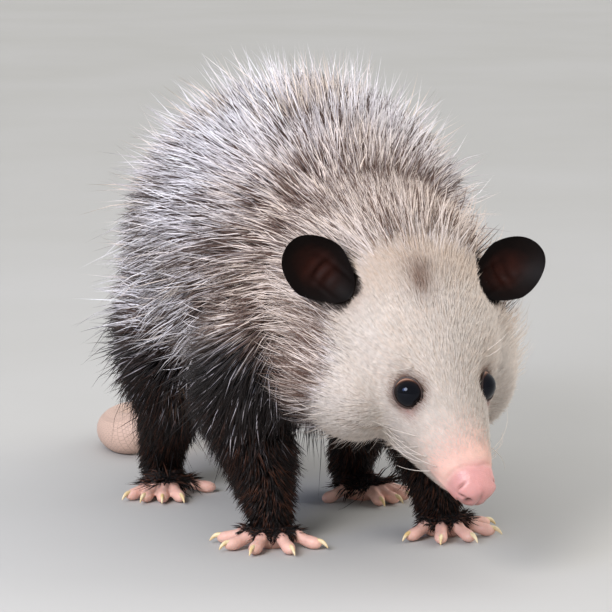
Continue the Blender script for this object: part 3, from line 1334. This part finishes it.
def makeStudio():
    bm = bmesh.new()
    bmesh.ops.create_circle(bm, cap_ends=True, segments=64, radius=studio["floorRadius"])
    floor = meshObject("studioFloor", bm)
    floor.data.materials.append(plainMaterial("palePaintedFloor", "#B0AEAA", "#B4B2AF", 0.8, 3.0, 0.0))
    for name, back, strength, spreadAngle, code in studio["suns"]:
        sun = addLight(name, "SUN", strength, code, Vector(back), angle=math.radians(spreadAngle))
        sun.visible_glossy = False      # wide suns would fog the eyes
    for name, place, size, power, code in studio["softboxes"]:
        back = Vector(place) - Vector(studio["middle"])
        addLight(name, "AREA", power, code, back, shape="DISK", size=size).location = place
    world = bpy.data.worlds.new("paleStudio")
    bpy.context.scene.world = world
    world.use_nodes = True
    background = world.node_tree.nodes["Background"].inputs
    background["Color"].default_value = rgba(studio["worldColour"])
    background["Strength"].default_value = studio["worldStrength"]
    bpy.context.scene.view_settings.view_transform = "Standard"


# The whole animal

flesh = ["torso", "head", "jaw", "nose", "neck"]
flesh += ["tail_" + part for part in ("root", "drop", "bend", "run", "tip")]
flesh += [f"{pair}_{side}_{part}" for pair in ("fore", "hind") for side in ("right", "left")
          for part in ("upper", "lower", "foot")]

tailScales = {"round": 32, "long": 1.4}      # scales in a ring, and their length in mm


def dressSkin(skin, fields):
    mesh = skin.data
    setColour(mesh, "skinTone", skinTone(fields))
    turn, along, _ = rolledOut("tail", fields["co"])
    rolled = np.stack([(turn / (2 * math.pi) + 0.5) * tailScales["round"], along / tailScales["long"],
                       np.zeros(len(turn))], 1)
    mesh.attributes.new("rolled", "FLOAT_VECTOR", "POINT").data.foreach_set("vector", rolled.ravel())
    slots = np.zeros(len(fields["co"]), int)
    slots[fields["feet"]] = 1
    slots[fields["tail"]] = 2
    slots[(fields["local"][:, 0] > -6)] = 3
    first = np.array([polygon.vertices[0] for polygon in mesh.polygons])
    mesh.polygons.foreach_set("use_smooth", np.ones(len(mesh.polygons), bool))
    materials = [skinMaterial("furredHide", 0.9, 0.10, 0.7), skinMaterial("bareToeSkin", 1.3, 0.22, 0.5),
                 tailMaterial(), skinMaterial("moistNoseSkin", 0.6, 0.12, 0.36)]
    finish(skin, materials, "pink_skin", flesh)
    mesh.polygons.foreach_set("material_index", slots[first].astype(np.int32))


# Rings of a strand, from its root to its tip: how far along, and its share of the width
strand = ((0.28, 1.0), (0.66, 0.68))
shortStrand = ((0.42, 1.0),)

# Kinds of tuft: start and end in degrees off the skin, reach as a share of the coat's depth or
# length, width in mm, clump as tufts in a clump and gather as how far they lean together
tuft = {"rings": strand, "sway": 0.08, "sink": 1.2, "flat": 0.45, "uneven": 0.3, "clump": 10, "gather": 0.6,
        "clumpTone": 0.16}
underfur = dict(tuft, kind="under", rings=shortStrand, start=44, topStart=14, end=14, topEnd=14,
                byDepth=True, reach=0.5, shortest=4, longest=22, width=1.4, rearDown=16)
guardHair = dict(tuft, kind="guard", start=46, topStart=20, end=12, topEnd=26, byDepth=True, reach=0.86,
                 shortest=7, longest=42, width=0.95, clump=18, gather=1.15, stray=0.15, rearDown=30,
                 skinShading=0.4)
wispyHair = dict(guardHair, kind="wisp", reach=1.35, longest=58, width=0.62, stray=0.2, uneven=0.4, clump=5,
                 gather=0.7)
napeFur = dict(tuft, kind="guard", start=36, topStart=8, end=12, topEnd=10, reach=0.96, width=0.68,
               skinShading=0.4, clump=14, gather=0.8)
faceFur = dict(tuft, kind="face", rings=shortStrand, start=22, end=5, reach=1.0, width=0.68, ruffUp=16,
               gather=0.12, wander=0.14, stray=0.1, clumpTone=0.04, sink=0.5, skinShading=3.0)
fringeFur = dict(faceFur, rings=strand, start=50, end=16, reach=1.65, width=0.5, uneven=0.5, stray=0.2)
limbFur = dict(tuft, kind="guard", rings=shortStrand, start=34, end=10, reach=0.9, width=0.85)
tailFur = dict(limbFur, start=30, reach=1.0)
coatPieces = [      # piece, region, part it is rolled out on, kind of tuft, seed and count
    ("underfurUpper", "upper", "trunk", underfur, 101, 12000),
    ("underfurLower", "lower", "trunk", underfur, 102, 10000),
    ("guardHairBack", "back", "trunk", guardHair, 111, 14700),
    ("guardHairRight", "right", "trunk", guardHair, 112, 15500),
    ("guardHairLeft", "left", "trunk", guardHair, 113, 9600),
    ("guardHairBelly", "belly", "trunk", guardHair, 114, 4500),
    ("wispyHair", "upper", "trunk", wispyHair, 115, 4000),
    ("furNape", "nape", "nape", napeFur, 121, 10500),
    ("furCrown", "crown", "skull", faceFur, 131, 30000),
    ("furCheeks", "cheeks", "skull", faceFur, 132, 28500),
    ("furFringe", "fringe", "skull", fringeFur, 134, 3400),
    ("furMuzzle", "muzzle", "skull", faceFur, 133, 17000),
]
coatPieces += [("fur" + word[0].upper() + word[1:], word, word, limbFur, 141 + k, 6300)
               for k, word in enumerate(limbs)]
coatPieces.append(("furTailRoot", "tailRoot", "tail", tailFur, 151, 3000))


def coatCover(fields):
    # how thickly the coat grows: thin towards the nose, and none on the lids, the mouth and the feet
    f, _, u = fields["local"].T
    cover = 1 - ease(-22, -7, f) * 0.9
    cover[fields["feet"] | (f > -6.5)] = 0
    for sign in (-1, 1):
        centre, facing = eyeAxes(sign)
        away = fields["local"] - centre
        reach = np.linalg.norm(away, axis=1)
        tilt = np.degrees(np.arccos(np.clip(away @ facing / np.maximum(reach, 1e-6), -1, 1)))
        cover[(tilt < eye["opening"] + 6) & (reach < eye["radius"] + 4)] = 0
    cover[(np.abs(u - mouthHeight(f)) < 1.2) & (f > head["mouthBack"]) & (f < 0)] = 0
    return cover


def coatRegions(fields):
    f, _, u = fields["local"].T
    _, y, z = fields["co"].T
    cover, named = coatCover(fields), fields["named"]
    onTrunk = named["trunk"]
    for part in limbRoots:
        onTrunk = onTrunk | named[part]
    trunk, onHead = onTrunk * cover, fields["head"] * cover
    angle = np.arctan2(z - 130, -(y - 8))        # round the trunk, 0 on its right side
    wedge = 0.85
    right, left = np.abs(angle) < wedge, np.abs(angle) > math.pi - wedge
    above = (angle >= wedge) & (angle <= math.pi - wedge)
    below = (angle <= -wedge) & (angle >= wedge - math.pi)
    regions = {
        "upper": trunk * (above + right * 0.5 + left * 0.5),
        "lower": trunk * (below + right * 0.5 + left * 0.5),
        "back": trunk * above, "right": trunk * right, "left": trunk * left, "belly": trunk * below,
        "nape": ((named["nape"] | named["skull"] | named["jaw"]) & ~fields["head"]) * cover,
        "crown": onHead * (f < -88), "cheeks": onHead * ((f >= -88) & (f < -60)),
        "muzzle": onHead * (f >= -60),
        "fringe": onHead * (fields["ruff"] + 0.5 * ease(-14, -26, u) * ease(-40, -60, f)),
        "tailRoot": named["tail"] * ease(44, 76, z),
    }
    for word in limbs:
        regions[word] = fields["legs"] * cover * named[word]
    return regions


def growAll(fields):
    coat = furMaterial("coarseGuardHair", 0.5, 0.35, 0.3, 0.62)
    fine = furMaterial("fineFaceFur", 0.65, 0.15, 0.05, 0.4)
    regions = coatRegions(fields)
    for name, region, part, style, seed, count in coatPieces:
        look = (fine, "face_fur") if style["kind"] == "face" else (coat, "body_fur")
        growCoat(name, fields, regions[region], part, dict(style, seed=seed, count=count), *look)
    makeWhiskers(fields, fine)


def main():
    skin = makeSkin()
    fields = skinFields(skin)
    skin.data.calc_loop_triangles()
    tris = np.empty(len(skin.data.loop_triangles) * 3, np.int32)
    skin.data.loop_triangles.foreach_get("vertices", tris)
    fields["tris"] = tris.reshape(-1, 3)
    print("skin:", len(fields["tris"]), "triangles")
    dressSkin(skin, fields)
    growAll(fields)
    cornea = eyeMaterial()
    lids = plainMaterial("darkLidSkin", "#22140F", "#3A2219", 0.42, 400.0, 0.1)
    leather = earMaterial()
    horn = plainMaterial("yellowClawHorn", "#D2B277", "#E8D6B0", 0.4, 260.0, 0.05)
    for word, sign in (("Right", -1), ("Left", 1)):
        makeEye(word, sign, cornea)
        makeLids(word, sign, lids)
        makeEar(word, sign, leather)
    for word in limbs:
        makeClaws(word, horn)
    makeCamera()
    makeStudio()


main()
